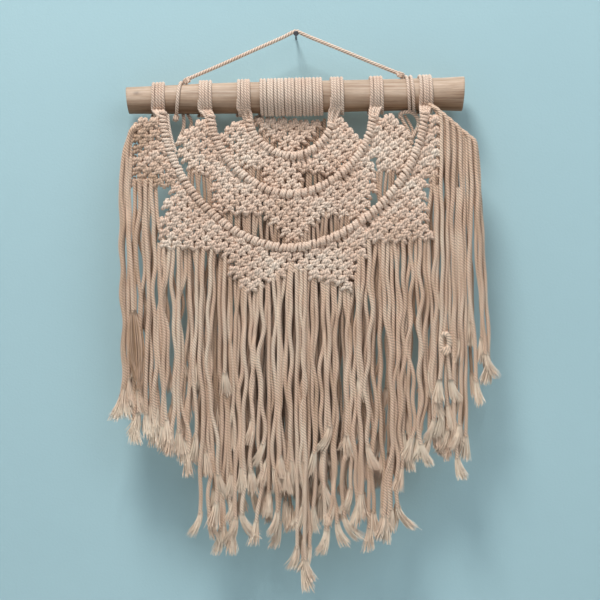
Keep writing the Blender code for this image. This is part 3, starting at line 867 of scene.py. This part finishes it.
def add_neck(mesh, top, x_mount, rng):
    """Cords that come out from under a mount wrap and gather into the top of an arc."""
    for i in range(4):
        place = i - 1.5
        x = x_mount + place * 3.3
        forward = 1.7 * (i % 2)
        under = around_dowel(x, dowel_radius(x) + 0.2, math.radians(100))
        leave = around_dowel(x, dowel_radius(x) + WRAP_RADIUS + 0.2, math.radians(134))
        below_x = 0.5 * x + 0.5 * (top[0] + place * 2.4)
        below = np.array([below_x, 0.6 * top[1] + 0.4 * leave[1], leave[2] - 4.5])
        into = np.array([top[0] + place * 1.9, top[1] - 0.5, top[2] - 5])
        below[1] -= forward
        into[1] -= forward
        route = smooth_route([under, leave, below, into])
        mesh.add_cord(route, 1.75, NECK_TINT + rng.normal(0, 0.05), groove=0.24)


# ---- knotted nets


def knot_template(rng):
    """A square knot from the front: two slanting bars over the core cords, held by a bight on each side."""
    upper = [
        (-3, 0.8, -0.6), (-2.9, -1.2, 0), (-1, -2.9, 0.6), (1, -2.9, 1.5), (2.6, -1.4, 2.2), (2.9, 0.8, 2.5),
    ]
    lower = [
        (-2.4, 0.8, -2.7), (-2.2, -1.2, -2.3), (-0.6, -2.5, -1.8), (1, -2.5, -1), (2.4, -1.2, -0.3),
        (2.6, 0.8, 0.1),
    ]
    right_bight = [(2, 0.8, 2.7), (3.1, -1, 1.8), (3.4, -2.2, 0.2), (2.9, -1.9, -1.4), (1.8, 0.4, -2.8)]
    left_bight = [(-2.2, 0.8, 2.5), (-3.1, -1, 1.8), (-3.3, -1.7, 0.5), (-2.8, -0.2, -0.8)]
    tight = {"sides": 6, "lay": 7, "groove": 0.18}
    mesh = CordMesh()
    for route in (upper, lower, right_bight, left_bight):
        route = np.array(route) + rng.normal(0, 0.22, (len(route), 3))
        mesh.add_cord(smooth_route(route, 5), KNOT_RADIUS, 0.5, phase=rng.uniform(0, 2), **tight)
    for side in (-1, 1):
        parting = np.array([(1.4, -0.2, -1.4), (3.3, -2.1, -2.9), (4.6, -1.4, -4.3), (5.3, 0.8, -5.4)])
        parting[:, 0] *= side
        mesh.add_cord(smooth_route(parting, 5), KNOT_RADIUS, 0.47, phase=side, **tight)
    for x in (-1.5, 1.5):
        core = [(x * 1.7, 1.2, 4.6), (x, 0.8, 0), (x * 1.7, 1.2, -4.6)]
        mesh.add_cord(smooth_route(core, 4), KNOT_RADIUS, 0.36, sides=6, lay=8, groove=0.12)
    return mesh.as_template()


def lattice(layer, tree, z_high):
    """Centres of alternating rows of knots inside a net, clear of the arc above it."""
    nowhere = np.array([[0, 0, 900]])
    arc = arc_line(layer)[0] if layer in ARCS else nowhere
    base, start = LATTICE_START[layer]
    centres = []
    for row in range(-4, 2 * int((z_high - base) / KNOT_PAIR_HIGH) + 6):
        for column in range(-17, 18):
            x = start + (column + (row % 2) / 2) * KNOT_WIDE
            z = base + (row // 2) * KNOT_PAIR_HIGH + (row % 2) * KNOT_STEP - 0.05 * (x - start)
            x += 1.1 * math.sin(z / 17.0 + base)
            z += 1.2 * math.sin(x / 29.0 + start)
            inside = all(in_front_of(tree, x + dx, z) for dx in (-1.5, 0, 1.5))
            to_arc = np.hypot(arc[:, 0] - x, arc[:, 2] - z).min()
            if inside and to_arc > KNOT_TO_ARC:
                centres.append((x, z))
    return centres


def net_depth(layer, x, z):
    """How far a net stands out of its plane at (x, z): it bellies a little, and the left wing turns back."""
    belly = -1.1 * math.sin(x / 31.0 + 1) * math.sin(z / 27)
    if layer == "outer" and x < -140 and z > -160:
        belly += (-140 - x) * 0.25
    return belly


def add_feeders(mesh, layer, knot):
    """The short cords by which a knot next to its arc hangs from the arc."""
    if layer not in ARCS:
        return
    line = arc_line(layer)[0]
    away = np.hypot(line[:, 0] - knot[0], line[:, 2] - knot[2])
    near = int(away.argmin())
    if away[near] > FEEDER_REACH or line[near, 2] < knot[2]:
        return
    for side in (-1, 1):
        top = line[np.clip(near + 4 * side, 0, len(line) - 1)] + (0, 0.6, 0)
        middle = 0.5 * (top + knot) + (side * 1.2, -0.6, 1.5)
        route = smooth_route([top, middle, knot + (side * 2, 0, 1)], 5)
        mesh.add_cord(route, 2.1, 0.5, sides=6, groove=0.17)


def add_net(layer, nodes, templates, material, rng):
    """All the knots of one curtain's net, one object for each of its CAD sections."""
    z_high = max(node_span(node)[1][2] for node in nodes)
    trees = {node: solid_tree([node]) for node in nodes}
    meshes = {node: CordMesh() for node in nodes}
    for x, z in lattice(layer, solid_tree(nodes), z_high):
        inside = [node for node in nodes if in_front_of(trees[node], x, z)]
        if not inside:
            continue
        angle = 0.07 + np.clip(0.0011 * x, -0.12, 0.13) + rng.normal(0, 0.15)
        c, s = math.cos(angle), math.sin(angle)
        size = 1.08 + rng.normal(0, 0.06)
        matrix = size * np.array([[c, 0, -s], [0, 1, 0], [s, 0, c]])
        shade = KNOT_TINT + rng.normal(0, 0.06)
        if layer == "outer" and x < -112 and z > -158:
            shade -= 0.25  # the left wing turns back into the shade
        jitter = rng.normal(0, 0.35, 2)
        shift = np.array([x + jitter[0], LAYER_Y[layer] + net_depth(layer, x, z), z + jitter[1]])
        template = templates[rng.integers(len(templates))]
        meshes[inside[0]].add_copy(template, matrix, shift, shade)
        add_feeders(meshes[inside[0]], layer, shift)
    for node in nodes:
        stand_for(meshes[node].build(node + "_knots", material), curtain(layer), "net_cotton", node)


# ---- strands


def wander(run, rng, size):
    """A smooth sideways drift along a strand: none at its top, more as it hangs free."""
    drift = np.zeros_like(run)
    for wave in (310, 165, 92, 51):
        strength = size * (wave / 165) ** 0.4
        height = rng.normal(0, 0.55) * strength
        drift += height * np.sin(TURN * run / wave + rng.uniform(0, 6.3))
    drift -= drift[0]
    return drift * np.clip(run / 45, 0, 1) ** 0.8


def hanging_route(x, y, top, tip, rng, sway=2.3, lean=0):
    """A strand's line from its knot down to where its end is brushed out."""
    run = np.arange(0.0, top - tip, 3.0)
    out = -0.9 * np.clip(run / 60, 0, 1) + np.clip(wander(run, rng, 0.8), -2, 2)
    sideways = wander(run, rng, sway) + lean * run
    return np.column_stack([x + sideways, y + out, top - run])


def strand_columns(node, tree, pitch, lean=0):
    """(x, tip height) of the strands that a CAD group of strands stands for."""
    low, high = node_span(node)
    y = 0.5 * (low[1] + high[1])
    reach = lean * (high[2] - low[2])
    width = high[0] - low[0] - abs(reach)
    count = max(2, int(round(width / pitch)))
    columns = []
    for i in range(count):
        x = low[0] + (i + 0.5) * width / count
        tip = first_above(tree, x + reach, y, low[2] - 20)
        if tip is not None:
            columns.append((x, tip))
    return columns


def add_inner_strands(layer, nodes, nets, material, rng):
    """The loose cords of a curtain that hangs behind another: they run down into the fringe."""
    above = solid_tree(nets)
    for node in nodes:
        mesh = CordMesh()
        for x, tip in strand_columns(node, solid_tree([node]), STRAND_PITCH):
            top = first_above(above, x, LAYER_Y[layer], tip)
            if top is None:
                continue
            tip += rng.uniform(15, 105)
            y = LAYER_Y[layer] + rng.uniform(-1.6, 1.6)
            x += rng.uniform(-1, 1)
            route = hanging_route(x, y, top + TOP_OVERLAP, tip + TUFT_LENGTH, rng)
            # these strands and their tufts hang behind the front fringe and are set darker: painted shade
            shade = REAR_SHADE_TINT + rng.normal(0, 0.08)
            radius = LOOSE_RADIUS * rng.uniform(0.9, 1.02)
            mesh.add_cord(route, radius, shade, sides=6, offset=rng.uniform(0, 90))
            mesh.brush_out(route, rng.uniform(3.6, 5.6), REAR_TUFT_SHADE_TINT, rng, start=-1)
        stand_for(mesh.build(node + "_cords", material), curtain(layer), "fringe_cotton", node)


def shoulder_route(x, y, tip, rng, side):
    """An outer strand: it comes out from behind its neighbour over the net's shoulder, bends and drops."""
    behind, above = x - 9.0 * side, x - 3.4 * side
    route = smooth_route([
        (behind, y + 5, shoulder_height(behind) - 1), (above, y + 1, shoulder_height(above) + 0.2),
        (x - 0.8 * side, y, shoulder_height(x) - 3), (x + 0.2 * side, y, shoulder_height(x) - 14),
    ], 6)
    lean = 0.0026 * max(x - 163, 0) if side > 0 else 0.004
    hang = hanging_route(*route[-1], tip, rng, sway=1.4, lean=lean + rng.uniform(-0.006, 0.006))
    return np.vstack([route[:-1], hang])


def front_trim(x, rng):
    """How much higher than its CAD tip a front strand ends: most reach the hem, some stop far above it."""
    share = np.interp(abs(x), (45, 60, 90), (0.58, 0.3, 0.08))
    if rng.uniform() < share:
        return rng.uniform(16, 92)
    return rng.uniform(-14, 8)


def fringe_strands(node, nets, rng):
    """Routes of one swinging group of the front fringe, and of the sparser row behind it."""
    edge_group = node in EDGE_GROUPS
    pitch = OUTER_PITCH if edge_group else STRAND_PITCH
    lean = 0.05 if node == "fringe_right_outer" else 0.0
    tree = solid_tree([node])
    columns = strand_columns(node, tree, pitch, lean)
    front = []
    for number, (x, tip) in enumerate(columns):
        tip += rng.uniform(-9, 12) if edge_group else front_trim(x, rng)
        if edge_group and node != "fringe_left_outer":
            trim = EDGE_TRIMS[(len(columns) - 1 - number) % len(EDGE_TRIMS)]
            tip += 8.0 + 1.4 * trim if node == "fringe_right_wing" else trim
        tip = max(tip, np.interp(x, HEM_X, HEM_HEIGHT) + rng.uniform(0, HEM_RAGGED))
        y = LAYER_Y["outer"] + ((-2.8 if number % 2 else 0.6) if edge_group else rng.uniform(-2.6, 2.6))
        front.append(fringe_route(x, y, tip, nets, rng))
    behind = []
    longest_trim = 26.0 if edge_group else 95.0
    for x, tip in strand_columns(node, tree, BEHIND_PITCH, lean):
        tip += rng.uniform(4, longest_trim)
        behind.append(fringe_route(x, LAYER_Y["outer"] + 6, tip, nets, rng))
    return front, behind


def hang_on(piece):
    """Bakes the placement of a piece of the front fringe into its mesh."""
    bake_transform(piece)


def add_fringe(nodes, nets, material, rng):
    """The front fringe. Its longest strands are pieces of their own."""
    groups = {node: fringe_strands(node, nets, rng) for node in nodes}
    lengths = sorted((route_length(route) for front, _ in groups.values() for route in front), reverse=True)
    shortest_declared = lengths[DECLARED_CORDS - 1]
    for node, (front, behind) in groups.items():
        rest, tufts = CordMesh(), CordMesh()
        pieces = []
        for number, route in enumerate(front, 1):
            radius = LOOSE_RADIUS * rng.uniform(0.92, 1.04)
            shade = FRONT_TINT + rng.normal(0, 0.09)
            tufts.brush_out(route, rng.uniform(4.4, 7.4), FRONT_TUFT_TINT, rng)
            alone = route_length(route) >= shortest_declared
            mesh = CordMesh() if alone else rest
            centres = mesh.add_cord(route, radius, shade, offset=rng.uniform(0, 90))
            if alone:
                piece = mesh.build(f"{node}_strand_{number}", material)
                hang_on(piece)
                pieces.append(piece)
        for route in behind:
            # the row behind the front strands, and its tufts, are set darker: painted shade
            shade = BEHIND_SHADE_TINT + rng.normal(0, 0.08)
            rest.add_cord(route, LOOSE_RADIUS * 0.96, shade, sides=6, offset=rng.uniform(0, 90))
            tufts.brush_out(route, rng.uniform(3.6, 5.2), BEHIND_TUFT_SHADE_TINT, rng)
        if node == "fringe_left_outer":
            add_unlaid_strand(tufts, rng)
        if node == "fringe_right_wing":
            add_slipped_knot(tufts, rng)
        for x, top, tip in SHORT_STRANDS.get(node, ()):
            route = hanging_route(x, LAYER_Y["outer"] - 2.6, top, tip + 24, rng, sway=0.9)
            rest.add_cord(route, LOOSE_RADIUS * 0.9, SHORT_TINT, offset=rng.uniform(0, 90))
            tufts.brush_out(route, 6.2, SHORT_TUFT_TINT, rng, length=25)
        stand_for(tufts.build(node + "_brushed_ends", material), node, "fringe_cotton", node)
        pieces.append(rest.build(node + "_strands", material))
        hang_on(pieces[-1])
        if node in STARTS_AT:
            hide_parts(STARTS_AT[node])


def add_unlaid_strand(mesh, rng):
    """A cord at the left edge whose plies have come apart part of the way down into a loose brown hank."""
    top, foot = np.array([-162.0, -28.0, -280.0]), np.array([-155.5, -27.5, -352.0])
    above = [(-166.5, -25.5, -128), (-167.5, -27.5, -180), (-164, -28, -235), top + (0, 0, -6)]
    mesh.add_cord(smooth_route(above), 2, 0.58)
    mesh.add_tuft(top, foot - top, 80, 8.5, HANK_TINT, rng, gathered=True)
    below = [foot + (-0.5, 0, 6), foot + (0.5, 0, -14), foot + (-1.5, 0, -30)]
    mesh.add_cord(smooth_route(below), 2, 0.58)
    mesh.add_tuft(np.array(below[-1]), np.array([-0.1, 0, -1]), 26, 7.5, FRONT_TUFT_TINT, rng)


def shoulder_height(x):
    """Height of the line over which the outermost strands of each side bend."""
    if x > 0:
        out = x - 139.0
        return -78.5 - 0.84 * out - 1.2 * max(out - 40, 0) ** 2
    out = max(-160.5 - x, 0)
    return -96.0 - 0.5 * out - 0.19 * out**2


def fringe_route(x, y, tip, nets, rng):
    """A front strand's route: from the net straight down, or over the shoulder at the two edges."""
    top = first_above(nets, x, LAYER_Y["outer"], tip)
    tip += TUFT_LENGTH
    if top is None or x > 141 or x < -163:
        return shoulder_route(max(x, -174.5), y, tip, rng, 1 if x > 0 else -1)
    return hanging_route(x + rng.uniform(-1.3, 1.3), y, top + TOP_OVERLAP, tip, rng, sway=2.7)


def add_slipped_knot(mesh, rng):
    """A loose overhand knot part of the way down one right-hand strand, with two brushed ends below it."""
    ring = np.linspace(-0.6, TURN + 0.4, 40)
    centre = np.array([148.5, -29.5, -312.0])
    loop = centre + np.column_stack([3.9 * np.sin(ring), -1.6 * np.cos(ring / 2), 8.2 * np.cos(ring)])
    mesh.add_cord(loop, 2.9, 0.7, offset=4)
    mesh.add_cord(overhand(centre + (0.5, -0.5, -8.5), 3, 0.4), 2.3, 0.66)
    for lean in (-0.16, 0.14):
        foot = centre + (lean * 10, -0.5, -9)
        stem = smooth_route([foot, foot + (lean * 12, 0, -12), foot + (lean * 26, 0, -28)])
        mesh.add_cord(stem, 2, 0.6)
        mesh.add_tuft(stem[-1], stem[-1] - stem[-6], 24, 6.5, 0.88, rng)


def build():
    rng = np.random.default_rng(7)
    add_camera()
    add_lights()
    add_stage()
    loose = cotton("fringe_cotton", 0.97, FRINGE_WARM_SHADE_TONE)
    knotted, ribbed = cotton("net_cotton", 1.06), cotton("arc_cotton", 1.02)
    rope, wound = cotton("hanger_cotton", 0.98), cotton("wrap_cotton", 0.95)
    add_hanger(rope)
    add_dowel(rng)
    for node in nodes_starting("mount_wrap", "centre_wrap"):
        add_wrap(node, wound, rng)
    templates = [knot_template(rng) for _ in range(8)]
    for layer in LAYERS:
        nets = nodes_starting(layer + "_net")
        add_net(layer, nets, templates, knotted, rng)
        if layer in ARCS:
            add_arc(layer, ribbed, rng)
        if layer != "outer":
            add_inner_strands(layer, nodes_starting(layer + "_strands"), nets, loose, rng)
    nets = nodes_starting("outer_net")
    add_fringe(nodes_starting("fringe_"), solid_tree(nets), loose, rng)


build()
